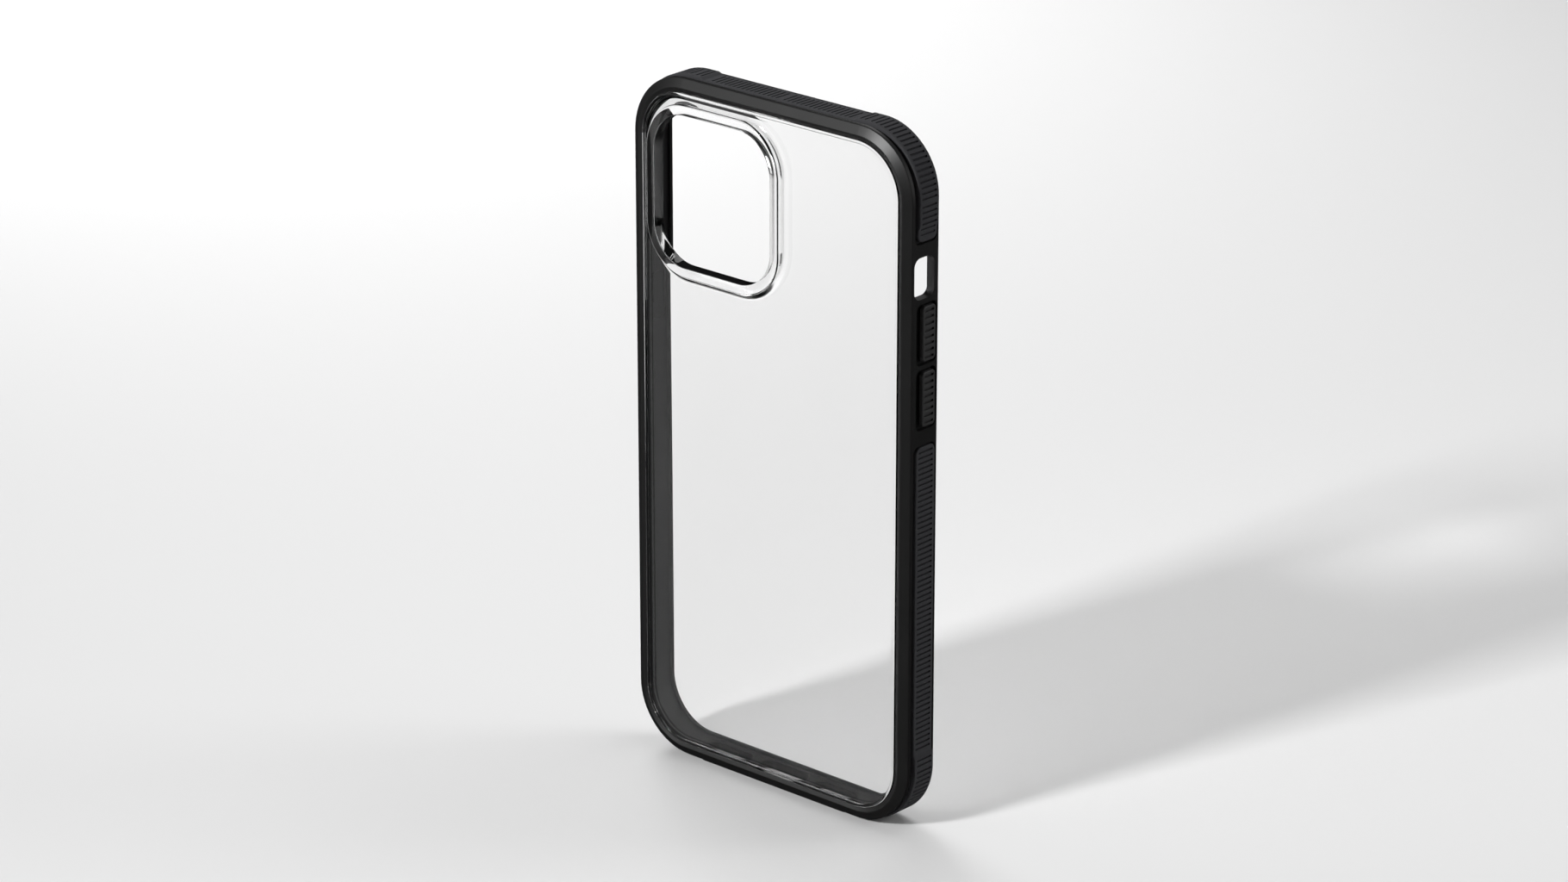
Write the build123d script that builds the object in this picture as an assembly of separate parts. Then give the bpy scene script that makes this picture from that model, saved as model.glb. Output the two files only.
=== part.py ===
from build123d import *
import os
from math import degrees

# A phone case for a large phone: a clear hard back panel with a raised camera guard, held in a soft bumper frame
# with ribbed grips, three buttons, a mute-switch cut-out and port slots. Sizes are in millimetres.
#
# The case is drawn lying on its front edge: X is across it, Y up its height and Z from the front edge (0) to the
# back. stand_up() then turns it upright, its back towards -Y, with the middle of its base at the origin.
# "Offset" always means the distance outwards from the wall of the phone's pocket.

# --- the phone that the case holds ---
phone_width = 78.1
phone_height = 160.8
phone_thickness = 7.65
phone_clearance = 0.15
phone_corner_radius = 12.8

# --- clear back panel ---
panel_thickness = 1.5
panel_recess = 0.45        # the panel's main face lies this far below its rim
rim_width = 0.8
rim_round = 0.25
window_inset = 0.95        # the frame's back opening, inwards from the pocket wall
flange_reach = 0.75        # the panel's edge flange, outwards from the pocket wall
flange_cover = 0.75        # depth of frame over the flange

# --- bumper frame ---
wall_thickness = 2.25
lip_height = 1.2           # how far the front lip stands proud of the screen
lip_reach = 0.75           # how far the lip overlaps the pocket
lip_chamfer = 0.45
crest_offset = 0.15
crest_round = 0.3
crest_fall = 0.45          # fall from the crest in to the window's edge
bezel_drop = 1.15          # fall of the bezel from its crest to the frame's side
bezel_round = 0.35
side_draft = 0.2           # the side leans in by this much towards the front
front_round = 1.1

# --- ribbed grips ---
grip_floor = 1.05          # offset of the channel floor that the grips are bonded to
strip_face = 2.05          # offset of a straight strip's outer face
pad_face = 2.55            # offset of a corner pad's outer face
grip_front = 1.1           # height of the grips' front edge
grip_width = 6.4
valley_width = 1.2         # open channel between a grip and the bezel
grip_end_gap = 0.5
grip_end_round = 1.6
grip_edge_round = 0.25
rib_pitch = 1.28
rib_slot = 0.5
rib_depth = 0.4
rib_margin = 0.75
upper_pad_drop = 19.05     # from the top of the pocket down to the end of a top corner pad
upper_grip_drop = 22.7     # and to the end of its thin tail
lower_grip_drop = 69.7     # and to the upper end of a side strip
lower_pad_rise = 16.7      # from the bottom of the pocket up to the end of a bottom corner pad
top_pad_run = 4.25         # length of a top corner pad along the top, past its corner
bottom_pad_run = 1.95      # the same along the bottom

# --- standing foot: a flat land under the base, level with the corner pads ---
foot_front = 1.4           # height of its front edge
foot_back = 9.4
foot_margin = 1.0          # from each end of the foot to the grips' channel
foot_corner_round = 2.0
foot_edge_round = 0.1

# --- buttons ---
button_width = 4.3
button_front = 1.7         # height of a button's front edge
button_face = 2.45         # offset of a button's outer face at rest
button_travel = 0.4
button_edge_round = 0.3
button_corner_round = 1.0
button_under_gap = 0.1     # left under a cap that is pressed right in
key_rib_pitch = 1.54
key_rib_slot = 0.65
key_rib_margin = 0.6       # from a button's end to its first rib slot, at least
key_rib_depth = 0.45
key_rib_length = 3.1
key_rib_round = 0.25
well_gap_back = 2.0        # open well on the bezel side of a button
well_gap = 0.7             # open well on a button's other sides
well_floor = 0.95          # offset of the well's floor
well_corner_round = 1.5
volume_drop = 51.35        # from the top of the pocket down to the middle of the volume buttons
volume_length = 12.9
volume_bridge = 1.0        # thin bridge of frame between the two volume buttons
power_drop = 51.35
power_length = 17.4
key_relief = 0.35          # depth of the relief inside the wall for the phone's own key
key_relief_margin = 1.1
stem_length = 6.0
stem_width = 1.6
stem_corner_round = 0.5
stem_clearance = 0.15
relief_corner_round = 1.4
flange_margin = 0.8
flange_corner_round = 0.8
flange_thickness = 0.25
flange_gap = 0.05

# --- openings in the frame ---
mute_drop = 30.55          # from the top of the pocket down to the middle of the cut-out
mute_length = 9.7
mute_front = 2.0
mute_width = 6.9
mute_round = 2.0
port_front = 2.0
port_width = 14.5
port_height = 5.8
port_round = 2.6
slot_front = 2.7
slot_height = 4.6
slot_round = 2.2
speaker_gap = 2.6          # from the charging port to the speaker slot
speaker_margin = 2.9       # from the speaker slot to the start of the corner
microphone_gap = 2.9
microphone_margin = 3.6

# --- camera guard ---
guard_side_drop = 23.25    # from the side of the pocket in to the middle of the camera opening
guard_top_drop = 23.75     # from the top of the pocket down to it
guard_opening_width = 35.1
guard_opening_height = 36.1
guard_opening_round = 9.5
guard_ring_width = 2.5
guard_rise = 1.2           # height of the guard above the frame's crest
guard_flare_width = 1.8    # the foot of the guard flares out into the panel
guard_flare_height = 0.8
guard_top_round = 0.6

# --- worked out from the sizes above ---
pocket_half_width = phone_width / 2 + phone_clearance
pocket_half_height = phone_height / 2 + phone_clearance
pocket_radius = phone_corner_radius + phone_clearance
corner_x = pocket_half_width - pocket_radius      # where the straight top and bottom walls end
corner_y = pocket_half_height - pocket_radius     # where the straight side walls end
zone_reach = phone_width + phone_height           # far enough to pass every edge of the case
panel_inner = lip_height + phone_thickness
panel_outer = panel_inner + panel_thickness
crest_height = panel_outer + panel_recess
flange_top = crest_height - flange_cover
side_top = crest_height - bezel_drop
grip_back = grip_front + grip_width
channel_back = grip_back + valley_width
guard_top = crest_height + guard_rise
well_front = button_front - well_gap
well_back = button_front + button_width + well_gap_back
cap_base = well_floor + button_travel + button_under_gap
upper_pad_end = pocket_half_height - upper_pad_drop
upper_grip_end = pocket_half_height - upper_grip_drop
lower_grip_end = pocket_half_height - lower_grip_drop
lower_pad_end = lower_pad_rise - pocket_half_height
top_pad_end = corner_x - top_pad_run
bottom_pad_end = corner_x - bottom_pad_run
volume_centre = pocket_half_height - volume_drop
power_centre = pocket_half_height - power_drop
mute_centre = pocket_half_height - mute_drop
guard_centre_x = guard_side_drop - pocket_half_width
guard_centre_y = pocket_half_height - guard_top_drop
speaker_start = -port_width / 2 - speaker_gap
speaker_end = speaker_margin - corner_x
microphone_start = port_width / 2 + microphone_gap
microphone_end = corner_x - microphone_margin


def outline(offset):
    """The rounded rectangle that lies this far outside the pocket wall."""
    return RectangleRounded(
        2 * (pocket_half_width + offset),
        2 * (pocket_half_height + offset),
        pocket_radius + offset,
    )


def block(shape, bottom, top):
    """The flat shape as a solid between two heights."""
    return Pos(0, 0, bottom) * extrude(shape, top - bottom)


def band(inner_offset, outer_offset, bottom, top):
    """A ring around the case between two offsets and two heights."""
    return block(outline(outer_offset) - outline(inner_offset), bottom, top)


def rounded_polygon(corners):
    """A closed shape through (x, y, radius) corners, each rounded by its own radius."""
    shape = make_face(Polyline([(x, y) for x, y, radius in corners], close=True))
    for x, y, radius in corners:
        if radius > 0:
            corner = shape.vertices().sort_by_distance((x, y, 0))[0]
            shape = fillet(corner, radius)
    return shape


def swept_ring(section, half_width, half_height, radius):
    """The section, drawn as (distance outwards, height), carried round a rounded rectangle."""
    path = RectangleRounded(2 * half_width, 2 * half_height, radius).wire()
    up = Vector(0, 0, 1)
    outward = (path % 0).cross(up)
    if outward.dot(path @ 0) < 0:
        outward = -outward
    plane = Plane(origin=path @ 0, x_dir=outward, z_dir=outward.cross(up))
    return sweep(plane * section, path=path)


def side_box(side, from_offset, to_offset, centre, length, front, width, corner):
    """A box through the side wall (side = 1 right, -1 left), rounded where it is seen from the side."""
    shape = Pos(centre, front + width / 2) * RectangleRounded(length, width, corner)
    start = pocket_half_width + from_offset
    prism = Plane.YZ * extrude(shape, to_offset - from_offset)
    prism = Pos(start, 0, 0) * prism
    return prism if side > 0 else prism.mirror(Plane.YZ)


def base_box(from_offset, to_offset, centre, length, front, width, corner):
    """A box through the bottom wall, rounded where it is seen from below."""
    shape = Pos(centre, front + width / 2) * RectangleRounded(length, width, corner)
    prism = extrude(Plane.XZ * shape, to_offset - from_offset)
    return Pos(0, -pocket_half_height - from_offset, 0) * prism


def make_panel():
    """Clear back panel: edge flange, raised rim, recessed main face and the camera guard, in one moulding."""
    panel = block(outline(flange_reach), panel_inner, flange_top)
    raised = block(outline(-window_inset), panel_inner, crest_height)
    raised -= block(outline(-window_inset - rim_width), panel_outer, crest_height)
    rim_edges = raised.edges().group_by(Axis.Z)[-1]
    panel += fillet(rim_edges, rim_round)
    panel += make_guard()
    opening = RectangleRounded(guard_opening_width, guard_opening_height, guard_opening_round)
    panel -= Pos(guard_centre_x, guard_centre_y) * block(opening, panel_inner, guard_top)
    return panel


def make_guard():
    """Camera guard: a raised ring with a rounded top and a foot that flares into the panel."""
    inner = -guard_ring_width / 2
    foot = guard_ring_width + guard_flare_width
    flare_top = panel_outer + guard_flare_height
    section = make_face(
        [
            Polyline([(guard_ring_width, guard_top), (inner, guard_top), (inner, panel_inner), (foot, panel_inner),
                      (foot, panel_outer)]),
            TangentArc([(foot, panel_outer), (guard_ring_width, flare_top)], tangent=(-1, 0)),
            Line((guard_ring_width, flare_top), (guard_ring_width, guard_top)),
        ]
    )
    corner = section.vertices().sort_by_distance((guard_ring_width, guard_top, 0))[0]
    section = fillet(corner, guard_top_round)
    ring = swept_ring(section, guard_opening_width / 2, guard_opening_height / 2, guard_opening_round)
    return Pos(guard_centre_x, guard_centre_y) * ring


def frame_section():
    """The bumper's section, outwards from the pocket wall and up from the front edge."""
    side = wall_thickness
    lean = wall_thickness - side_draft
    return rounded_polygon(
        [
            (-window_inset, flange_top, 0),
            (-window_inset, crest_height - crest_fall, 0),
            (crest_offset, crest_height, crest_round),
            (side, side_top, bezel_round),
            (lean, 0, front_round),
            (-lip_reach + lip_chamfer, 0, 0),
            (-lip_reach, lip_chamfer, 0),
            (-lip_reach, lip_height, 0),
            (0, lip_height, 0),
            (0, panel_inner, 0),
            (flange_reach, panel_inner, 0),
            (flange_reach, flange_top, 0),
        ]
    )


def grip_zone(back, gap):
    """Where the grips' channel runs, or the grips in it, as a solid that covers those stretches of the wall."""
    reach = zone_reach
    depth = back - grip_front
    upper_start = upper_grip_end + gap
    lower_start = lower_grip_end - gap
    bottom_start = bottom_pad_end + gap
    upper = Pos(upper_start + reach / 2, grip_front + depth / 2) * RectangleRounded(reach, depth, grip_end_round)
    lower = Pos(lower_start - reach / 2, grip_front + depth / 2) * RectangleRounded(reach, depth, grip_end_round)
    zone = extrude(Plane.YZ * upper, reach, both=True) + extrude(Plane.YZ * lower, reach, both=True)
    return zone - Pos(0, -reach / 2, 0) * Box(2 * bottom_start, reach, reach)


def make_frame():
    """Soft bumper frame with its grip channel, button wells, mute cut-out and port slots."""
    frame = swept_ring(frame_section(), pocket_half_width, pocket_half_height, pocket_radius)
    frame += make_foot()
    channel = band(grip_floor, pad_face + wall_thickness, grip_front, channel_back)
    frame -= channel & grip_zone(channel_back, 0)
    frame -= volume_wells()
    frame -= button_well(-1, power_centre, power_length)
    for side, centre, length in button_places():
        frame -= button_passage(side, centre, length)
    frame -= side_box(1, -lip_reach, pad_face, mute_centre, mute_length, mute_front, mute_width, mute_round)
    frame -= base_box(-lip_reach, pad_face, 0, port_width, port_front, port_height, port_round)
    for start, end in ((speaker_start, speaker_end), (microphone_start, microphone_end)):
        middle = (start + end) / 2
        frame -= base_box(-lip_reach, pad_face, middle, abs(end - start), slot_front, slot_height, slot_round)
    return frame


def make_foot():
    """The flat land under the base, on the bottom wall between the two bottom corner pads."""
    length = 2 * (bottom_pad_end - foot_margin)
    foot = base_box(
        grip_floor, pad_face, 0, length, foot_front, foot_back - foot_front, foot_corner_round
    )
    ground = foot.faces().sort_by(Axis.Y)[0]
    return fillet(ground.edges(), foot_edge_round)


def button_places():
    """Side, middle and length of the volume up, volume down and power buttons."""
    step = (volume_length + volume_bridge) / 2 + well_gap
    return [
        (1, volume_centre + step, volume_length),
        (1, volume_centre - step, volume_length),
        (-1, power_centre, power_length),
    ]


def button_well(side, centre, length):
    """The open well that a button sits in."""
    width = well_back - well_front
    return side_box(
        side, well_floor, pad_face, centre, length + 2 * well_gap, well_front, width, well_corner_round
    )


def volume_wells():
    """One well for each volume button, with the thin bridge left between them."""
    wells = [button_well(side, centre, length) for side, centre, length in button_places() if side > 0]
    return wells[0] + wells[1]


def button_passage(side, centre, length):
    """The stem's hole through the well's floor and the relief on the inside for the phone's key."""
    middle = button_front + button_width / 2
    hole_width = stem_width + 2 * stem_clearance
    hole = side_box(
        side, -phone_clearance, well_floor, centre,
        stem_length + 2 * stem_clearance, middle - hole_width / 2, hole_width,
        stem_corner_round + stem_clearance,
    )
    relief_width = button_width
    relief = side_box(
        side, -phone_clearance, key_relief, centre,
        length - 2 * key_relief_margin, middle - relief_width / 2, relief_width, relief_corner_round,
    )
    return hole + relief


def make_cap(side, centre, length, name):
    """Ribbed button cap that stands in its well."""
    cap = side_box(
        side, cap_base, button_face, centre, length, button_front, button_width, button_corner_round
    )
    outer_face = cap.faces().sort_by(Axis.X)[-1 if side > 0 else 0]
    cap = fillet(outer_face.edges(), button_edge_round)
    count = int((length - key_rib_slot - 2 * key_rib_margin) / key_rib_pitch) + 1
    ribs = [
        side_box(
            side, button_face - key_rib_depth, pad_face, centre + (i - (count - 1) / 2) * key_rib_pitch,
            key_rib_slot, button_front + (button_width - key_rib_length) / 2, key_rib_length, key_rib_round,
        )
        for i in range(count)
    ]
    return named(cap - ribs, name)


def make_plunger(side, centre, name):
    """Hard core of a button: a stem through the wall and the flange inside that keeps the button in."""
    middle = button_front + button_width / 2
    flange_outer = key_relief - flange_gap
    flange_width = stem_width + 2 * flange_margin
    stem = side_box(
        side, flange_outer, cap_base, centre, stem_length, middle - stem_width / 2, stem_width, stem_corner_round
    )
    flange = side_box(
        side, flange_outer - flange_thickness, flange_outer, centre,
        stem_length + 2 * flange_margin, middle - flange_width / 2, flange_width, flange_corner_round,
    )
    return named(stem + flange, name)


def straight_slots(first, last, across):
    """Rib slots along a straight stretch of wall, from one place to another, made by the given cutter."""
    count = int(abs(last - first) / rib_pitch)
    middle = (first + last) / 2
    return [across(middle + (i - (count - 1) / 2) * rib_pitch) for i in range(count)]


def slot_cutter(face):
    """The cutter of one rib slot, from the slot's floor outwards, standing at the pocket wall on the +X side."""
    reach = pad_face + rib_depth
    start = face - rib_depth
    length = grip_width - 2 * rib_margin
    cutter = Box(reach - start, rib_slot, length, align=(Align.MIN, Align.CENTER, Align.MIN))
    return Pos(start, 0, grip_front + rib_margin) * cutter


def corner_slots(sign_x, sign_y, face):
    """Rib slots that fan round one corner."""
    radius = pocket_radius + face
    step = degrees(rib_pitch / radius)
    count = int(90 / step)
    first = {(1, 1): 0, (-1, 1): 90, (-1, -1): 180, (1, -1): 270}[sign_x, sign_y]
    cutter = Pos(pocket_radius, 0, 0) * slot_cutter(face)
    return [
        Pos(sign_x * corner_x, sign_y * corner_y) * Rot(0, 0, first + (i + 0.5) * 90 / count) * cutter
        for i in range(count)
    ]


def side_slots(side, first, last, face):
    """Rib slots on the right (1) or left (-1) wall between two heights."""
    turn = 0 if side > 0 else 180
    return straight_slots(
        first, last,
        lambda y: Pos(side * pocket_half_width, y, 0) * Rot(0, 0, turn) * slot_cutter(face),
    )


def end_slots(end, first, last, face):
    """Rib slots on the top (1) or bottom (-1) wall between two places across the case."""
    return straight_slots(
        first, last,
        lambda x: Pos(x, end * pocket_half_height, 0) * Rot(0, 0, 90 * end) * slot_cutter(face),
    )


def grip_body(face, region):
    """A plain grip of the given face offset inside a region of the wall."""
    outer = block(outline(face), grip_front, grip_back)
    rims = outer.edges().group_by(Axis.Z)
    ring = fillet(rims[0] + rims[-1], grip_edge_round) - block(outline(grip_floor), grip_front, grip_back)
    return ring & grip_zone(grip_back, grip_end_gap) & region


def region_box(x0, x1, y0, y1):
    """The part of the case between two places across it and two up it."""
    return Pos((x0 + x1) / 2, (y0 + y1) / 2, 0) * Box(x1 - x0, y1 - y0, zone_reach)


def make_corner_pad(sign_x, sign_y, name):
    """Thick corner pad, its thin tail up the side and the ribs over both."""
    reach = zone_reach
    end_x = top_pad_end if sign_y > 0 else bottom_pad_end
    pad_y = upper_pad_end if sign_y > 0 else lower_pad_end
    x_range = sorted((sign_x * end_x, sign_x * reach))
    pad = grip_body(pad_face, region_box(*x_range, *sorted((pad_y, sign_y * reach))))
    slots = corner_slots(sign_x, sign_y, pad_face)
    slots += end_slots(sign_y, sign_x * (end_x + rib_pitch / 2), sign_x * corner_x, pad_face)
    slots += side_slots(sign_x, pad_y, sign_y * corner_y, pad_face)
    if sign_y > 0:
        tail = grip_body(strip_face, region_box(*x_range, lower_grip_end, upper_pad_end))
        slots += side_slots(sign_x, upper_grip_end + grip_end_gap + rib_pitch / 2, upper_pad_end, strip_face)
        pad = pad + tail
    return named(pad - slots, name)


def make_side_strip(side, name):
    """Straight ribbed strip on the lower part of a side."""
    x_range = sorted((0, side * zone_reach))
    strip = grip_body(strip_face, region_box(*x_range, lower_pad_end, lower_grip_end))
    slots = side_slots(side, lower_pad_end, lower_grip_end - grip_end_gap - rib_pitch / 2, strip_face)
    return named(strip - slots, name)


def make_top_strip(name):
    """Straight ribbed strip across the top."""
    strip = grip_body(strip_face, region_box(-top_pad_end, top_pad_end, 0, zone_reach))
    slots = end_slots(1, -top_pad_end, top_pad_end, strip_face)
    return named(strip - slots, name)


def named(shape, name):
    shape.label = name
    return shape


def stand_up(shape):
    """Turn the drawn case upright, its back towards -Y and the middle of its base at the origin."""
    lift = pocket_half_height + pad_face
    return Pos(0, guard_top / 2, lift) * Rot(90, 0, 0) * shape


def all_parts():
    """Every piece of the case, as drawn."""
    parts = [named(make_panel(), "back_panel"), named(make_frame(), "bumper_frame")]
    parts.append(make_top_strip("grip_strip_top"))
    parts.append(make_side_strip(1, "grip_strip_right"))
    parts.append(make_side_strip(-1, "grip_strip_left"))
    for vertical, sign_y in (("top", 1), ("bottom", -1)):
        for horizontal, sign_x in (("left", -1), ("right", 1)):
            parts.append(make_corner_pad(sign_x, sign_y, f"corner_pad_{vertical}_{horizontal}"))
    for name, (side, centre, length) in zip(("volume_up", "volume_down", "power"), button_places()):
        parts.append(make_cap(side, centre, length, f"{name}_button"))
        parts.append(make_plunger(side, centre, f"{name}_plunger"))
    return parts


os.makedirs("parts", exist_ok=True)
for part in all_parts():
    export_step(stand_up(part), f"parts/{part.label}.step")
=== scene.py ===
from math import cos, pi, radians, sin, sqrt

import bmesh
import bpy
from bpy.props import FloatProperty, FloatVectorProperty, PointerProperty
from mathutils import Matrix, Vector


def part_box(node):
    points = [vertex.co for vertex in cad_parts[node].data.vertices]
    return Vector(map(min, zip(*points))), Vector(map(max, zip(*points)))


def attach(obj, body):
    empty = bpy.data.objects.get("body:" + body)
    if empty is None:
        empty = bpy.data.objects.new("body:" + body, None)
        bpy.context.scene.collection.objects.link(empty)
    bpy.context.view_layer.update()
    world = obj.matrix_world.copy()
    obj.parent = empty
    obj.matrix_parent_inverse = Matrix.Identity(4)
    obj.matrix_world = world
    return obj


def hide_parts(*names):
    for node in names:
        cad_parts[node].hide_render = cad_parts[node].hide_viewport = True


bl_info = {
    "name": "Clear-Back Phone Case",
    "version": (1, 0, 0),
    "blender": (4, 5, 0),
    "location": "View3D > Sidebar > Phone Case",
    "description": "Finishes a packed phone case: clear back, bumper, ribbed grips, buttons and a studio",
    "category": "Object",
}

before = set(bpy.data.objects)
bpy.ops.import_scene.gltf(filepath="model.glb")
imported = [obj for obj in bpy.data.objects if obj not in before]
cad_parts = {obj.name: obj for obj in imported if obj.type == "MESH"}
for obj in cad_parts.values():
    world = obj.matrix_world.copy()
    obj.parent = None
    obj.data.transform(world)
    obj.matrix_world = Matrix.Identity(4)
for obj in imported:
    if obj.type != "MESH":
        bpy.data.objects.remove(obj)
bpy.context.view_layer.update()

MM = 0.001
FRONT_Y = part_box("bumper_frame")[1][1]      # the front lip's face; depths are measured back from it
TOP_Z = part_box("corner_pad_top_right")[1][2]
CENTRE_Z = TOP_Z / 2                        # the case stands at height 0

SAME_PLACE = 1e-6       # metres within which two places of a mesh count as one
GRIP_WELD = 1e-7        # the same, where a grip's corners are merged
CUT_WELD = 1e-8         # the same, where a plane cuts a mesh
CUT_DECIMALS = 7        # decimals of a metre to which two cuts count as one


# --- shapes that run round a rounded rectangle ---


class Outline:
    """A rounded rectangle seen from the back. Runs are measured clockwise from the middle of its top."""

    def __init__(self, half_width, half_height, radius, centre=(0.0, CENTRE_Z)):
        self.half_height = half_height
        self.radius = radius
        self.centre = Vector(centre)
        self.half_top = half_width - radius
        self.side = 2 * (half_height - radius)
        self.bend = radius * pi / 2
        self.legs = [
            (self.half_top, False), (self.bend, True), (self.side, False), (self.bend, True),
            (2 * self.half_top, False), (self.bend, True), (self.side, False), (self.bend, True),
            (self.half_top, False),
        ]
        self.length = sum(length for length, bends in self.legs)

    def place(self, run):
        """The point at this run and the direction out of the rectangle there."""
        point = self.centre + Vector((0.0, self.half_height))
        ahead = Vector((1.0, 0.0))
        run %= self.length
        for length, bends in self.legs:
            step = min(run, length)
            if bends:
                inward = Vector((ahead.y, -ahead.x)) * self.radius
                turn = Matrix.Rotation(-step / self.radius, 2)
                point = point + inward - turn @ inward
                ahead = turn @ ahead
            else:
                point = point + ahead * step
            run -= step
            if run <= 0:
                break
        return point, Vector((-ahead.y, ahead.x))

    def bend_cuts(self, start, end, steps):
        """Runs between start and end where a mesh must be divided to follow the bends smoothly."""
        cuts = []
        run = 0.0
        for length, bends in self.legs:
            count = steps if bends else 1
            cuts += [run + length * i / count for i in range(count + 1)]
            run += length
        return sorted({round(cut, CUT_DECIMALS) for cut in cuts if start < cut < end})

    def wrap(self, bm):
        """Bends a straight strip round the outline: X is the run, Y the depth and Z the offset outwards."""
        for vert in bm.verts:
            point, out = self.place(vert.co.x)
            point = point + out * vert.co.z
            vert.co = Vector((point.x, FRONT_Y - vert.co.y, point.y))


def cut_across(bm, axis, places):
    """Divides the whole mesh by planes square to an axis."""
    normal = Vector((0.0, 0.0, 0.0))
    normal[axis] = 1.0
    for place in places:
        geometry = bm.verts[:] + bm.edges[:] + bm.faces[:]
        bmesh.ops.bisect_plane(bm, geom=geometry, dist=CUT_WELD, plane_co=normal * place, plane_no=normal)


def round_edges(bm, edges, radius, segments=3):
    """Rounds edges to a radius, with flats in place of the arc."""
    bmesh.ops.bevel(
        bm, geom=list(edges), offset=radius, offset_type="OFFSET", affect="EDGES", segments=segments,
        profile=0.5, material=-1,
    )


def shade(bm, sharp_angle):
    """Smooth shading, broken at edges that turn by more than the given angle."""
    for face in bm.faces:
        face.smooth = True
    for edge in bm.edges:
        if len(edge.link_faces) == 2:
            edge.smooth = edge.calc_face_angle(pi) < sharp_angle


def finish_piece(bm, name, material, body, nodes):
    """Makes the mesh an object that stands for its CAD nodes and rides on their body."""
    mesh = bpy.data.meshes.new(name)
    bm.to_mesh(mesh)
    bm.free()
    mesh.materials.append(material)
    piece = bpy.data.objects.new(name, mesh)
    bpy.context.collection.objects.link(piece)
    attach(piece, body)
    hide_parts(*nodes)
    return piece


# --- materials ---


class Wire:
    """A shader socket that can be used in Python expressions."""

    def __init__(self, tree, socket):
        self.tree = tree
        self.socket = socket

    def math(self, operation, *values):
        return self.tree.node("ShaderNodeMath", {"operation": operation}, dict(enumerate(values)))

    def __add__(self, other):
        return self.math("ADD", self, other)

    __radd__ = __add__

    def __sub__(self, other):
        return self.math("SUBTRACT", self, other)

    def __rsub__(self, other):
        return self.math("SUBTRACT", other, self)

    def __mul__(self, other):
        return self.math("MULTIPLY", self, other)

    __rmul__ = __mul__


class Tree:
    """The node tree of a material or of the world."""

    def __init__(self, owner):
        owner.use_nodes = True
        self.tree = owner.node_tree
        self.tree.nodes.clear()

    def node(self, kind, settings=None, inputs=None, output=0):
        """Adds a node with its settings and its sockets' values or links, and returns one of its outputs."""
        node = self.tree.nodes.new(kind)
        for name, value in (settings or {}).items():
            if name == "stops":
                self.set_stops(node.color_ramp, value)
            else:
                setattr(node, name, value)
        for name, value in (inputs or {}).items():
            if isinstance(value, Wire):
                self.tree.links.new(value.socket, node.inputs[name])
            else:
                node.inputs[name].default_value = value
        return Wire(self, node.outputs[output]) if node.outputs else None

    def mix(self, share, first, second):
        """A colour between two. The colour sockets of a Mix node are 0, 6 and 7 going in and 2 coming out."""
        return self.node("ShaderNodeMix", {"data_type": "RGBA"}, {0: share, 6: first, 7: second}, output=2)

    @staticmethod
    def set_stops(ramp, stops):
        while len(ramp.elements) < len(stops):
            ramp.elements.new(1.0)
        for element, (position, value) in zip(ramp.elements, stops):
            element.position = position
            element.color = (value, value, value, 1.0)


def grey(value):
    return (value, value, value, 1.0)


# The moulded grain of each soft piece: its size along the surface and its height, in metres.
BUMPER_GRAIN = (0.0006, 0.00002)
GRIP_GRAIN = (0.0005, 0.00003)
PLUNGER_GRAIN = (0.0008, 0.00001)

WEAR_SCALE = 60.0       # handling marks to a metre
WEAR_TINT = 1.3         # the brightest mark, as a multiple of the plastic's own brightness
WEAR_GLOSS = 0.12       # how far the roughness varies over the marks


def soft_plastic(name, darkness, roughness, grain):
    """Satin moulded soft plastic: near-black, with a fine moulded grain and faint handling marks."""
    grain_size, grain_height = grain
    material = bpy.data.materials.new(name)
    tree = Tree(material)
    place = tree.node("ShaderNodeTexCoord", output="Object")
    relief = tree.node(
        "ShaderNodeTexNoise", {}, {"Vector": place, "Scale": 1 / grain_size, "Detail": 3.0, "Roughness": 0.6}
    )
    wear = tree.node("ShaderNodeTexNoise", {}, {"Vector": place, "Scale": WEAR_SCALE, "Detail": 4.0})
    bump = tree.node("ShaderNodeBump", {}, {"Height": relief, "Strength": 0.35, "Distance": grain_height})
    tint = tree.mix(wear, grey(darkness), grey(darkness * WEAR_TINT))
    gloss = roughness + WEAR_GLOSS * (wear - 0.5)
    shader = tree.node(
        "ShaderNodeBsdfPrincipled", {},
        {"Base Color": tint, "Roughness": gloss, "Normal": bump, "IOR": 1.5},
    )
    tree.node("ShaderNodeOutputMaterial", {}, {"Surface": shader})
    return material


RIPPLE_SCALE = 45.0     # uneven patches to a metre
RIPPLE_TINT = 0.985     # how clear the least clear patch is
RIPPLE_GLOSS = 0.012    # the greatest roughness


def clear_plastic(name):
    """Water-clear moulded polycarbonate, polished, with the faintest uneven gloss."""
    material = bpy.data.materials.new(name)
    tree = Tree(material)
    place = tree.node("ShaderNodeTexCoord", output="Object")
    ripple = tree.node("ShaderNodeTexNoise", {}, {"Vector": place, "Scale": RIPPLE_SCALE, "Detail": 1.0})
    tint = tree.mix(ripple, grey(RIPPLE_TINT), grey(1.0))
    shader = tree.node(
        "ShaderNodeBsdfPrincipled", {},
        {"Base Color": tint, "Roughness": RIPPLE_GLOSS * ripple, "IOR": 1.58, "Transmission Weight": 1.0},
    )
    tree.node("ShaderNodeOutputMaterial", {}, {"Surface": shader})
    return material


def floor_finish(name, paleness):
    """Pale matt studio floor."""
    material = bpy.data.materials.new(name)
    tree = Tree(material)
    shader = tree.node(
        "ShaderNodeBsdfPrincipled", {},
        {"Base Color": grey(paleness), "Roughness": 0.55, "Specular IOR Level": 0.3},
    )
    tree.node("ShaderNodeOutputMaterial", {}, {"Surface": shader})
    return material


# --- sizes and finishes that a user would change ---


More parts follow.
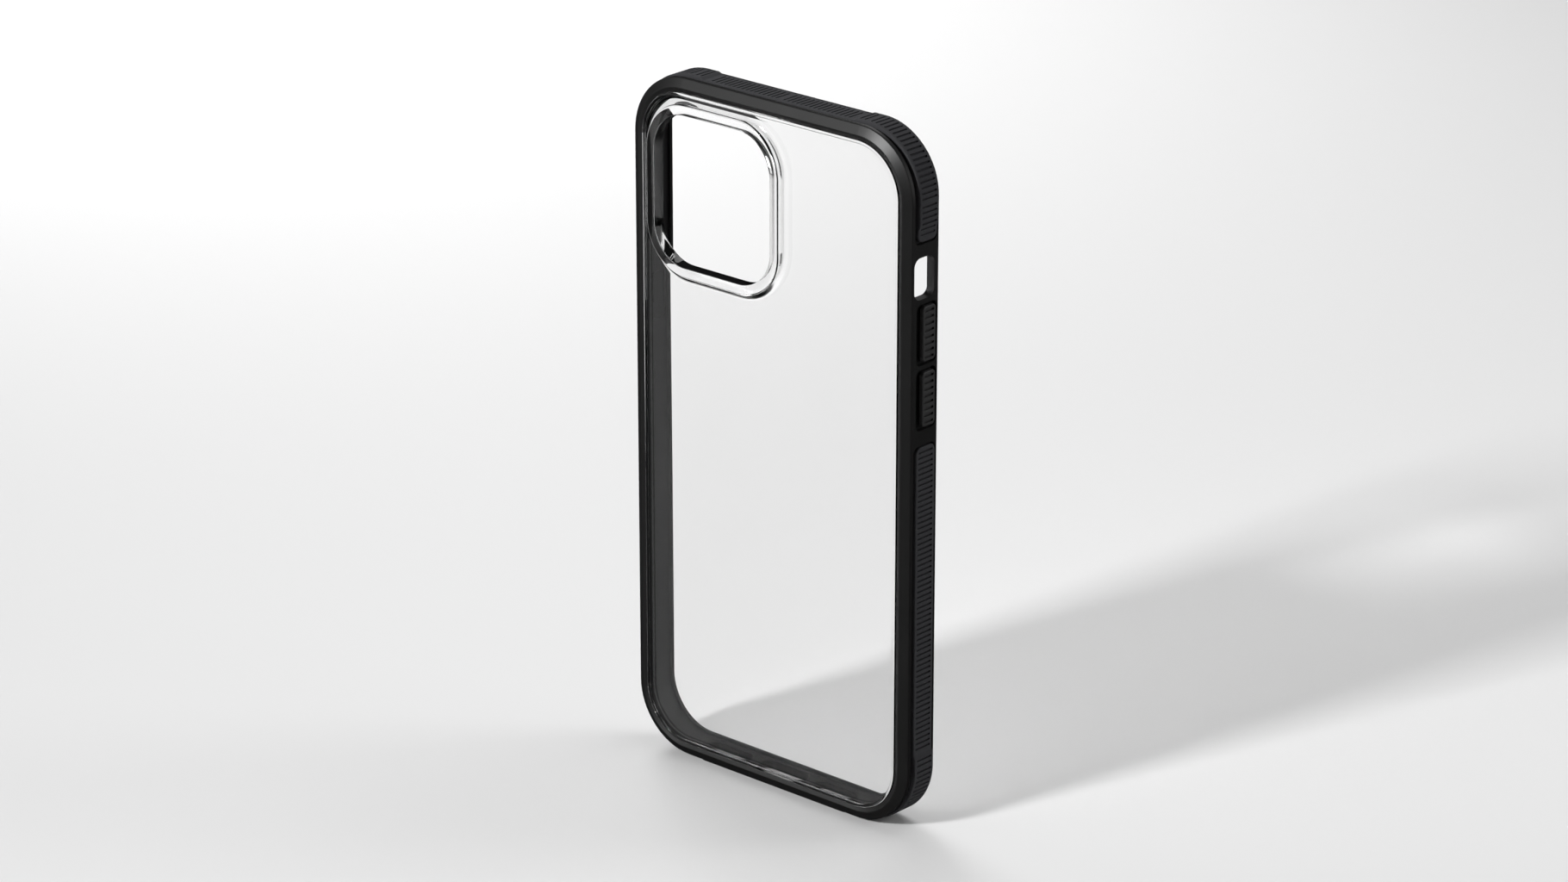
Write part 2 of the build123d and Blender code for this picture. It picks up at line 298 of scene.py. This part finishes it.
def length_property(name, description, millimetres):
    return FloatProperty(
        name=name, description=description, default=millimetres * MM, unit="LENGTH", precision=5
    )


def angle_property(name, description, degrees):
    return FloatProperty(name=name, description=description, default=radians(degrees), subtype="ANGLE")


def number_property(name, description, value):
    return FloatProperty(name=name, description=description, default=value)


class CasePocket(bpy.types.PropertyGroup):
    """The pocket that the phone sits in. Offsets elsewhere are measured outwards from its wall"""

    width: length_property("Width", "Inside width of the pocket", 78.4)
    height: length_property("Height", "Inside height of the pocket", 161.1)
    radius: length_property("Corner radius", "Radius of the pocket's corners", 12.95)


class CasePanel(bpy.types.PropertyGroup):
    """The clear back. Depths are measured from the case's front edge"""

    inner_depth: length_property("Inner face", "Depth of the panel's inner face", 8.85)
    outer_depth: length_property("Outer face", "Depth of the recessed outer face", 10.35)
    rim_depth: length_property("Rim top", "Depth of the raised rim's top", 10.8)
    rim_width: length_property("Rim width", "Width of the raised rim", 0.8)
    rim_round: length_property("Rim round", "Radius along the rim's top edges", 0.25)
    window_inset: length_property("Window inset", "From the pocket wall in to the frame's window", 0.95)
    flange_reach: length_property("Flange reach", "From the pocket wall out to the flange's edge", 0.75)
    flange_depth: length_property("Flange top", "Depth of the flange's back face", 10.05)


class CaseGuard(bpy.types.PropertyGroup):
    """The camera guard"""

    centre_x: length_property("Centre X", "Middle of the camera opening across the case", -15.95)
    centre_z: length_property("Centre Z", "Middle of the camera opening up the case", 139.9)
    width: length_property("Opening width", "Width of the camera opening", 35.1)
    height: length_property("Opening height", "Height of the camera opening", 36.1)
    radius: length_property("Opening radius", "Radius of the camera opening's corners", 9.5)
    ring_width: length_property("Ring width", "Width of the raised ring", 2.5)
    top_depth: length_property("Ring top", "Depth of the ring's top", 12.0)
    top_round: length_property("Outer round", "Radius along the ring's outer top edge", 0.6)
    inner_round: length_property("Inner round", "Radius along the ring's inner edges", 0.2)
    flare_width: length_property("Flare width", "Width of the foot that flares into the panel", 1.8)
    flare_height: length_property("Flare height", "Height of that foot", 0.8)


class CaseGrip(bpy.types.PropertyGroup):
    """The ribbed grips"""

    floor: length_property("Floor", "Offset of the channel's floor", 1.05)
    strip_face: length_property("Strip face", "Offset of a strip's outer face", 2.05)
    pad_face: length_property("Pad face", "Offset of a corner pad's outer face", 2.55)
    front: length_property("Front edge", "Depth of the grips' front edge", 1.1)
    back: length_property("Back edge", "Depth of the grips' back edge", 7.5)
    rib_pitch: length_property("Rib pitch", "From one rib slot to the next", 1.28)
    rib_slot: length_property("Rib slot", "Width of a rib slot", 0.5)
    rib_depth: length_property("Rib depth", "Depth of a rib slot", 0.4)
    rib_margin: length_property("Rib margin", "From a grip's edge to its slots", 0.75)
    edge_round: length_property("Edge round", "Radius along the grips' outer edges", 0.25)
    end_round: length_property("End round", "Radius of a grip's free end", 1.6)
    ramp: length_property("Ramp", "Length of the slope from a pad down to a strip", 1.3)


class CaseFinish(bpy.types.PropertyGroup):
    """Colours and gloss"""

    bumper_darkness: number_property("Bumper", "Base brightness of the bumper and the plungers", 0.01)
    grip_darkness: number_property("Grips", "Meant for the grips; no effect yet, as make_grip says", 0.015)
    # Painted light: the caps get a lighter base colour than the bumper, standing in for the light that their
    # narrow ribbed faces catch.
    cap_darkness_with_painted_light: number_property("Caps", "Base brightness of the button caps", 0.035)
    bumper_roughness: number_property("Bumper roughness", "How matt the bumper and the plungers are", 0.42)
    grip_roughness: number_property("Grip roughness", "How matt the caps are; meant for the grips too", 0.45)
    floor_paleness: number_property("Floor", "Brightness of the floor", 0.8)


class CaseStage(bpy.types.PropertyGroup):
    """Camera and lights"""

    azimuth: angle_property("Azimuth", "Camera turn from the back", 41.864)
    elevation: angle_property("Elevation", "Camera height angle", 20.80)
    distance: FloatProperty(name="Distance", description="Camera to target", default=1.231, unit="LENGTH")
    lens: number_property("Lens", "Focal length in millimetres", 122.0)
    target: FloatVectorProperty(
        name="Target", description="Where the camera looks", default=(-0.0163, 0.0189, 0.0751)
    )
    key: number_property("Key", "Power of the main light", 2.0)
    key_spread: angle_property("Key spread", "Cone of the main light", 70.0)
    front: number_property("Front fill", "Power of the nearly level light at the front left", 0.35)
    back: number_property("Back light", "Power of the light behind the case", 1.8)
    high_back: number_property("High back light", "Power of the light above and behind", 1.2)
    back_fill: number_property("Back fill", "Power of the nearly level light at the back right", 0.35)
    crown: number_property("Crown light", "Power of the small light close behind the top", 0.03)
    wash: number_property("Wash", "Power of all the lights on the far floor", 7.0)
    sky: number_property("Sky", "Brightness of the room above", 0.08)


def pocket_outline(pocket):
    return Outline(pocket.width / 2, pocket.height / 2, pocket.radius)


# --- clear back ---


PANEL_BEND_STEPS = 24           # facets to a quarter turn
PANEL_SHARP = radians(35)       # an edge that turns by more than this is drawn sharp
FLARE_STEPS = 6                 # facets up the guard's flare
FLARE_POWER = 2.2               # how hollow the flare is; 1 would be a straight slope


def straight_shell(profile, length):
    """An open profile of (offset, depth) points drawn out straight along X."""
    bm = bmesh.new()
    verts = [bm.verts.new((0.0, depth, offset)) for offset, depth in profile]
    edges = [bm.edges.new(pair) for pair in zip(verts, verts[1:])]
    drawn = bmesh.ops.extrude_edge_only(bm, edges=edges)
    moved = [item for item in drawn["geom"] if isinstance(item, bmesh.types.BMVert)]
    bmesh.ops.translate(bm, verts=moved, vec=(length, 0.0, 0.0))
    return bm


def edges_along(bm, offset, depth):
    """The long edges of a straight mesh at one offset and depth."""
    def at_place(vert):
        return abs(vert.co.z - offset) < SAME_PLACE and abs(vert.co.y - depth) < SAME_PLACE
    return [edge for edge in bm.edges if at_place(edge.verts[0]) and at_place(edge.verts[1])]


def edge_shell(panel, outline):
    """The panel's flange and raised rim, all the way round the case."""
    rim_outer = -panel.window_inset
    rim_inner = rim_outer - panel.rim_width
    profile = [
        (rim_inner - panel.rim_width, panel.outer_depth),
        (rim_inner, panel.outer_depth),
        (rim_inner, panel.rim_depth),
        (rim_outer, panel.rim_depth),
        (rim_outer, panel.flange_depth),
        (panel.flange_reach, panel.flange_depth),
        (panel.flange_reach, panel.inner_depth),
        (rim_inner, panel.inner_depth),
    ]
    bm = straight_shell(profile, outline.length)
    rounded = edges_along(bm, rim_inner, panel.rim_depth) + edges_along(bm, rim_outer, panel.rim_depth)
    round_edges(bm, rounded, panel.rim_round, segments=4)
    round_edges(bm, edges_along(bm, rim_inner, panel.outer_depth), panel.rim_round / 2)
    cut_across(bm, 0, outline.bend_cuts(0.0, outline.length, PANEL_BEND_STEPS))
    outline.wrap(bm)
    return bm


def guard_shell(panel, guard, outline):
    """The camera guard: a rounded ring, and a foot that flares out into the panel."""
    foot = guard.ring_width + guard.flare_width
    profile = [(foot, panel.outer_depth)]
    for i in range(1, FLARE_STEPS):
        share = i / FLARE_STEPS
        offset = foot - guard.flare_width * share
        profile.append((offset, panel.outer_depth + guard.flare_height * share ** FLARE_POWER))
    profile += [
        (guard.ring_width, panel.outer_depth + guard.flare_height),
        (guard.ring_width, guard.top_depth),
        (0.0, guard.top_depth),
        (0.0, panel.inner_depth),
        (guard.ring_width, panel.inner_depth),
    ]
    bm = straight_shell(profile, outline.length)
    round_edges(bm, edges_along(bm, guard.ring_width, guard.top_depth), guard.top_round, segments=6)
    round_edges(bm, edges_along(bm, 0.0, guard.top_depth), guard.inner_round, segments=4)
    round_edges(bm, edges_along(bm, 0.0, panel.inner_depth), guard.inner_round / 2)
    cut_across(bm, 0, outline.bend_cuts(0.0, outline.length, PANEL_BEND_STEPS))
    outline.wrap(bm)
    return bm


def join(bm, other):
    """Moves what another bmesh holds into this one."""
    mesh = bpy.data.meshes.new("joined")
    other.to_mesh(mesh)
    other.free()
    bm.from_mesh(mesh)
    bpy.data.meshes.remove(mesh)


def fill_flat(bm, depth):
    """Fills the flat region between the open edges that lie at one depth."""
    def at_depth(edge):
        return all(abs(vert.co.y - (FRONT_Y - depth)) < SAME_PLACE for vert in edge.verts)
    edges = [edge for edge in bm.edges if edge.is_boundary and at_depth(edge)]
    bmesh.ops.triangle_fill(bm, use_beauty=True, edges=edges)


class CASE_OT_clear_back(bpy.types.Operator):
    """Models the clear back panel with its rim and camera guard as one moulding"""

    bl_idname = "case.clear_back"
    bl_label = "Clear Back"

    def execute(self, context):
        scene = context.scene
        pocket, panel, guard = scene.case_pocket, scene.case_panel, scene.case_guard
        centre = (guard.centre_x, guard.centre_z)
        guard_outline = Outline(guard.width / 2, guard.height / 2, guard.radius, centre)
        bm = edge_shell(panel, pocket_outline(pocket))
        join(bm, guard_shell(panel, guard, guard_outline))
        bmesh.ops.remove_doubles(bm, verts=bm.verts[:], dist=SAME_PLACE)
        fill_flat(bm, panel.outer_depth)
        fill_flat(bm, panel.inner_depth)
        bmesh.ops.recalc_face_normals(bm, faces=bm.faces[:])
        shade(bm, PANEL_SHARP)
        material = clear_plastic("clear_panel")
        finish_piece(bm, "clear_back", material, "case", ["back_panel"])
        return {"FINISHED"}


# --- ribbed grips ---


GRIP_BEND_STEPS = 16            # facets to a quarter turn
GRIP_SHARP = radians(32)        # an edge that turns by more than this is drawn sharp
END_STEPS = 6                   # facets to the quarter circle of a free end
SLOT_DRAFT = 1 / 8              # how far a slot's sides lean in, as a share of its width
FACES_OUT = 0.9                 # least outward part of the normal of a bar's outer face
TAIL_PITCHES = 2.5              # from the middle of a top pad's slope to its lower end, in rib pitches


def rib_slots(grip, outline, start, end, face):
    """Start and end runs of the rib slots between two runs, evenly spaced on each straight and each bend.

    The legs are gone through twice, because the top strip runs on past the end of the first round.
    """
    slots = []
    run = 0.0
    for length, bends in outline.legs * 2:
        stretch = outline.radius / (outline.radius + face) if bends else 1.0
        pitch = grip.rib_pitch * stretch
        width = grip.rib_slot * stretch
        first = max(run, start)
        last = min(run + length, end)
        count = int((last - first) / pitch) if last > first else 0
        for i in range(count):
            middle = (first + last) / 2 + (i - (count - 1) / 2) * pitch
            slots.append((middle - width / 2, middle + width / 2))
        run += length
    return slots


def smooth_step(value):
    """Goes from 0 to 1 with a level start and end."""
    value = min(max(value, 0.0), 1.0)
    return value * value * (3 - 2 * value)


def slot_ends(grip):
    """The depths between which every rib slot runs."""
    return grip.front + grip.rib_margin, grip.back - grip.rib_margin


def end_cuts(grip, start, end):
    """Runs where a bar must be divided to follow the round of a free end, at both of its ends."""
    turns = [radians(90 * i / END_STEPS) for i in range(1, END_STEPS + 1)]
    cuts = [start + grip.end_round * (1 - cos(turn)) for turn in turns]
    return cuts + [start + end - cut for cut in cuts]


def grip_bar(grip, outline, start, end, face):
    """A straight bar with rounded outer edges and rib slots pressed into its face."""
    bm = bmesh.new()
    bmesh.ops.create_cube(bm, size=1.0)
    size = Vector((end - start, grip.back - grip.front, face - grip.floor))
    middle = Vector(((start + end) / 2, (grip.back + grip.front) / 2, (face + grip.floor) / 2))
    bmesh.ops.scale(bm, verts=bm.verts[:], vec=size)
    bmesh.ops.translate(bm, verts=bm.verts[:], vec=middle)
    outer = edges_along(bm, face, grip.front) + edges_along(bm, face, grip.back)
    round_edges(bm, outer, grip.edge_round)
    slots = rib_slots(grip, outline, start + grip.rib_slot, end - grip.rib_slot, face)
    cuts = [place for slot in slots for place in slot]
    cuts += end_cuts(grip, start, end) + outline.bend_cuts(start, end, GRIP_BEND_STEPS)
    cut_across(bm, 0, sorted(cuts))
    cut_across(bm, 1, slot_ends(grip))
    press_slots(bm, grip, slots, face)
    return bm


def press_slots(bm, grip, slots, face):
    """Presses the faces that lie in a slot down into the bar."""
    pressed = []
    front, back = slot_ends(grip)
    for facet in bm.faces:
        middle = facet.calc_center_median()
        on_face = facet.normal.z > FACES_OUT and abs(middle.z - face) < SAME_PLACE
        in_slot = front < middle.y < back and any(first < middle.x < last for first, last in slots)
        if on_face and in_slot:
            pressed.append(facet)
    bmesh.ops.inset_region(
        bm, faces=pressed, thickness=grip.rib_slot * SLOT_DRAFT, depth=-grip.rib_depth, use_even_offset=True,
    )


def shape_grip(bm, grip, free_ends, ramps):
    """Rounds the bar's free ends and slopes its thick part down to the strips beside it."""
    middle = (grip.front + grip.back) / 2
    half = (grip.back - grip.front) / 2
    thin = (grip.strip_face - grip.floor) / (grip.pad_face - grip.floor)
    for vert in bm.verts:
        for place in free_ends:
            into = grip.end_round - abs(vert.co.x - place)
            if into > 0:
                reach = half - grip.end_round + sqrt(max(grip.end_round ** 2 - into ** 2, 0.0))
                vert.co.y = middle + (vert.co.y - middle) * reach / half
        for thin_place, thick_place in ramps:
            rise = smooth_step((vert.co.x - thin_place) / (thick_place - thin_place))
            height = vert.co.z - grip.floor
            vert.co.z = grip.floor + height * (thin + (1 - thin) * rise)


def make_grip(context, name, side, start, end, face, free_ends=(), ramps=()):
    """One ribbed grip between two runs, on the right (1) or mirrored to the left (-1)."""
    grip = context.scene.case_grip
    outline = pocket_outline(context.scene.case_pocket)
    bm = grip_bar(grip, outline, start, end, face)
    shape_grip(bm, grip, free_ends, ramps)
    outline.wrap(bm)
    if side < 0:
        bmesh.ops.scale(bm, verts=bm.verts[:], vec=(-1.0, 1.0, 1.0))
    bmesh.ops.remove_doubles(bm, verts=bm.verts[:], dist=GRIP_WELD)
    bmesh.ops.recalc_face_normals(bm, faces=bm.faces[:])
    shade(bm, GRIP_SHARP)
    # Known fault: the CAD model brings a plain material named grip, and this finds that one. The one that
    # soft_plastic made got another name and is worn by nothing. The mend is to hand that one in here.
    finish_piece(bm, name + "_ribbed", bpy.data.materials["grip"], "case", [name])


def side_run(outline, height):
    """The run on the right side at a height above the base."""
    return outline.half_top + outline.bend + outline.centre.y + outline.side / 2 - height


def make_side_strip(context, side, word, start, end):
    """The strip down one side. Its upper end is round and free, and its lower end meets the corner pad."""
    face = context.scene.case_grip.strip_face
    make_grip(context, "grip_strip_" + word, side, start, end, face, [start])


def make_top_pad(context, side, word, start, end):
    """The pad round a top corner: it slopes up from the top strip and down to a thin tail on the side."""
    grip = context.scene.case_grip
    thick_end = end - TAIL_PITCHES * grip.rib_pitch
    slopes = [
        (start, start + grip.ramp),
        (thick_end + grip.ramp / 2, thick_end - grip.ramp / 2),
    ]
    make_grip(context, "corner_pad_top_" + word, side, start, end, grip.pad_face, [end], slopes)


def make_bottom_pad(context, side, word, start, end):
    """The pad round a bottom corner: it slopes up from the side strip and has a free end under the base."""
    grip = context.scene.case_grip
    slopes = [(start, start + grip.ramp)]
    make_grip(context, "corner_pad_bottom_" + word, side, start, end, grip.pad_face, [end], slopes)


class CASE_OT_grips(bpy.types.Operator):
    """Models the ribbed strips and corner pads"""

    bl_idname = "case.grips"
    bl_label = "Ribbed Grips"

    def execute(self, context):
        scene = context.scene
        grip, finish = scene.case_grip, scene.case_finish
        outline = pocket_outline(scene.case_pocket)
        soft_plastic("grip", finish.grip_darkness, finish.grip_roughness, GRIP_GRAIN)
        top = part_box("grip_strip_top")[1][0]
        make_grip(context, "grip_strip_top", 1, outline.length - top, outline.length + top, grip.strip_face)
        for side, word in ((1, "right"), (-1, "left")):
            low, high = (corner[2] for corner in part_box("grip_strip_" + word))
            start, end = side_run(outline, high), side_run(outline, low)
            make_side_strip(context, side, word, start, end)
            tail = side_run(outline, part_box("corner_pad_top_" + word)[0][2])
            make_top_pad(context, side, word, top, tail)
            foot = min(abs(corner[0]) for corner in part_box("corner_pad_bottom_" + word))
            last = outline.half_top + 2 * outline.bend + outline.side + outline.half_top - foot
            make_bottom_pad(context, side, word, end, last)
        return {"FINISHED"}


# --- moulded pieces kept from the CAD ---


def repaint(node_names, material):
    """Puts a material on CAD nodes as they are."""
    for name in node_names:
        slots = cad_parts[name].data.materials
        for i in range(len(slots)):
            slots[i] = material


class CASE_OT_bumper(bpy.types.Operator):
    """Gives the bumper frame its satin finish"""

    bl_idname = "case.bumper"
    bl_label = "Bumper"

    def execute(self, context):
        finish = context.scene.case_finish
        satin = soft_plastic("bumper", finish.bumper_darkness, finish.bumper_roughness, BUMPER_GRAIN)
        repaint(["bumper_frame"], satin)
        return {"FINISHED"}


class CASE_OT_buttons(bpy.types.Operator):
    """Gives the button caps and their plungers their finish"""

    bl_idname = "case.buttons"
    bl_label = "Buttons"

    def execute(self, context):
        finish = context.scene.case_finish
        # The caps' lighter base colour is painted light, standing in for the light that their faces catch.
        cap = soft_plastic("button_cap", finish.cap_darkness_with_painted_light, finish.grip_roughness, GRIP_GRAIN)
        plunger = soft_plastic("plunger", finish.bumper_darkness, finish.bumper_roughness, PLUNGER_GRAIN)
        repaint([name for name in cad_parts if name.endswith("_button")], cap)
        repaint([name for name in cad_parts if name.endswith("_plunger")], plunger)
        return {"FINISHED"}


# --- studio ---


FLOOR_SIZE = 20.0

# The room's brightness by height, from 0 straight down to 1 straight up: the height and the brightness there.
ROOM_STOPS = [(0.55, 0.06), (0.75, 0.7), (1.0, 1.0)]

# Each light on the far floor: its name, the place that it is aimed at and its share of their power.
FLOOR_LIGHTS = (
    ("far_left_wash", (-0.70, 0.35, 0.0), 0.62),
    ("left_wash", (-0.42, 0.17, 0.0), 0.18),
    ("far_wash", (-0.40, 0.45, 0.0), 0.20),
)


def add_area(name, power, toward, distance, aim, size, shines=True):
    """A square soft light in a direction from the place that it is aimed at. Not all show in reflections."""
    data = bpy.data.lights.new(name, "AREA")
    data.size = size
    data.energy = power
    light = bpy.data.objects.new(name, data)
    bpy.context.collection.objects.link(light)
    away = Vector(toward).normalized()
    light.location = Vector(aim) + away * distance
    light.rotation_euler = away.to_track_quat("Z", "Y").to_euler()
    light.visible_glossy = shines
    return light


def add_lights(stage):
    """The main light, the lights round the case and those on the far floor."""
    crown = (0.0, 0.0, TOP_Z)
    key = add_area(
        "key", stage.key, toward=(-0.371, -1.230, 0.773), distance=1.5, aim=(0.15, 0.15, 0.0), size=0.16
    )
    key.data.spread = stage.key_spread
    add_area("front_fill", stage.front, toward=(-0.45, -0.85, 0.1), distance=0.5, aim=crown, size=0.35)
    add_area(
        "back_light", stage.back, toward=(0.67, 0.74, 0.4), distance=1.0, aim=(0.0, 0.0, 0.03), size=0.35,
        shines=False,
    )
    add_area("back_fill", stage.back_fill, toward=(0.85, 0.50, 0.2), distance=0.5, aim=crown, size=0.35)
    add_area(
        "high_back", stage.high_back, toward=(0.25, 0.55, 1.0), distance=0.9, aim=(0.0, 0.0, 0.0), size=0.4,
        shines=False,
    )
    add_area(
        "crown_light", stage.crown, toward=(-0.4, 0.8, 0.45), distance=0.2, aim=(0.025, 0.0, TOP_Z), size=0.08
    )
    for name, place, share in FLOOR_LIGHTS:
        add_area(
            name, stage.wash * share, toward=(-0.3, 0.2, 1.0), distance=0.6, aim=place, size=0.4, shines=False
        )


def add_floor(context):
    """The pale floor, kept out of the reflections in the case."""
    bpy.ops.mesh.primitive_plane_add(size=FLOOR_SIZE)
    floor = context.object
    floor.name = "floor"
    floor.data.materials.append(floor_finish("floor", context.scene.case_finish.floor_paleness))
    floor.visible_glossy = False


def add_room(scene):
    """A room that is bright above and dark below, so that the black pieces keep their depth."""
    world = bpy.data.worlds.new("studio")
    scene.world = world
    tree = Tree(world)
    place = tree.node("ShaderNodeTexCoord", output="Generated")
    height = tree.node("ShaderNodeSeparateXYZ", {}, {"Vector": place}, output=2)
    bright = tree.node("ShaderNodeValToRGB", {"stops": ROOM_STOPS}, {"Fac": 0.5 + 0.5 * height})
    glow = tree.node("ShaderNodeBackground", {}, {"Color": bright, "Strength": scene.case_stage.sky})
    tree.node("ShaderNodeOutputWorld", {}, {"Surface": glow})


def add_camera(scene):
    """A camera at a turn, a height angle and a distance from the place that it looks at."""
    stage = scene.case_stage
    azimuth, elevation = stage.azimuth, stage.elevation
    right = Vector((cos(azimuth), sin(azimuth), 0.0))
    back = Vector((sin(azimuth) * cos(elevation), -cos(azimuth) * cos(elevation), sin(elevation)))
    up = back.cross(right)
    data = bpy.data.cameras.new("camera")
    data.sensor_width = 36.0
    data.lens = stage.lens
    data.clip_start = 0.01
    data.clip_end = 100.0
    camera = bpy.data.objects.new("camera", data)
    scene.collection.objects.link(camera)
    turn = Matrix((right, up, back)).transposed().to_4x4()
    camera.matrix_world = Matrix.Translation(Vector(stage.target) + back * stage.distance) @ turn
    scene.camera = camera


class CASE_OT_stage(bpy.types.Operator):
    """Builds the pale floor, the soft lights, the room and the camera"""

    bl_idname = "case.stage"
    bl_label = "Stage"

    def execute(self, context):
        scene = context.scene
        add_floor(context)
        add_lights(scene.case_stage)
        add_room(scene)
        add_camera(scene)
        scene.view_settings.view_transform = "Standard"
        return {"FINISHED"}


class CASE_PT_panel(bpy.types.Panel):
    """Lists the case's pieces and sizes"""

    bl_idname = "CASE_PT_panel"
    bl_label = "Phone Case"
    bl_space_type = "VIEW_3D"
    bl_region_type = "UI"
    bl_category = "Phone Case"

    def draw(self, context):
        for cls in OPERATORS:
            self.layout.operator(cls.bl_idname)
        for name, group in GROUPS:
            box = self.layout.box()
            box.label(text=name)
            values = getattr(context.scene, name)
            for key in group.__annotations__:
                box.prop(values, key)


GROUPS = (
    ("case_pocket", CasePocket),
    ("case_panel", CasePanel),
    ("case_guard", CaseGuard),
    ("case_grip", CaseGrip),
    ("case_finish", CaseFinish),
    ("case_stage", CaseStage),
)
OPERATORS = (CASE_OT_clear_back, CASE_OT_bumper, CASE_OT_grips, CASE_OT_buttons, CASE_OT_stage)


def register():
    for name, group in GROUPS:
        bpy.utils.register_class(group)
        setattr(bpy.types.Scene, name, PointerProperty(type=group))
    for cls in OPERATORS + (CASE_PT_panel,):
        bpy.utils.register_class(cls)


def unregister():
    for cls in reversed(OPERATORS + (CASE_PT_panel,)):
        bpy.utils.unregister_class(cls)
    for name, group in reversed(GROUPS):
        delattr(bpy.types.Scene, name)
        bpy.utils.unregister_class(group)


def main():
    register()
    bpy.ops.case.clear_back()
    bpy.ops.case.bumper()
    bpy.ops.case.grips()
    bpy.ops.case.buttons()
    bpy.ops.case.stage()


if __name__ == "__main__":
    main()
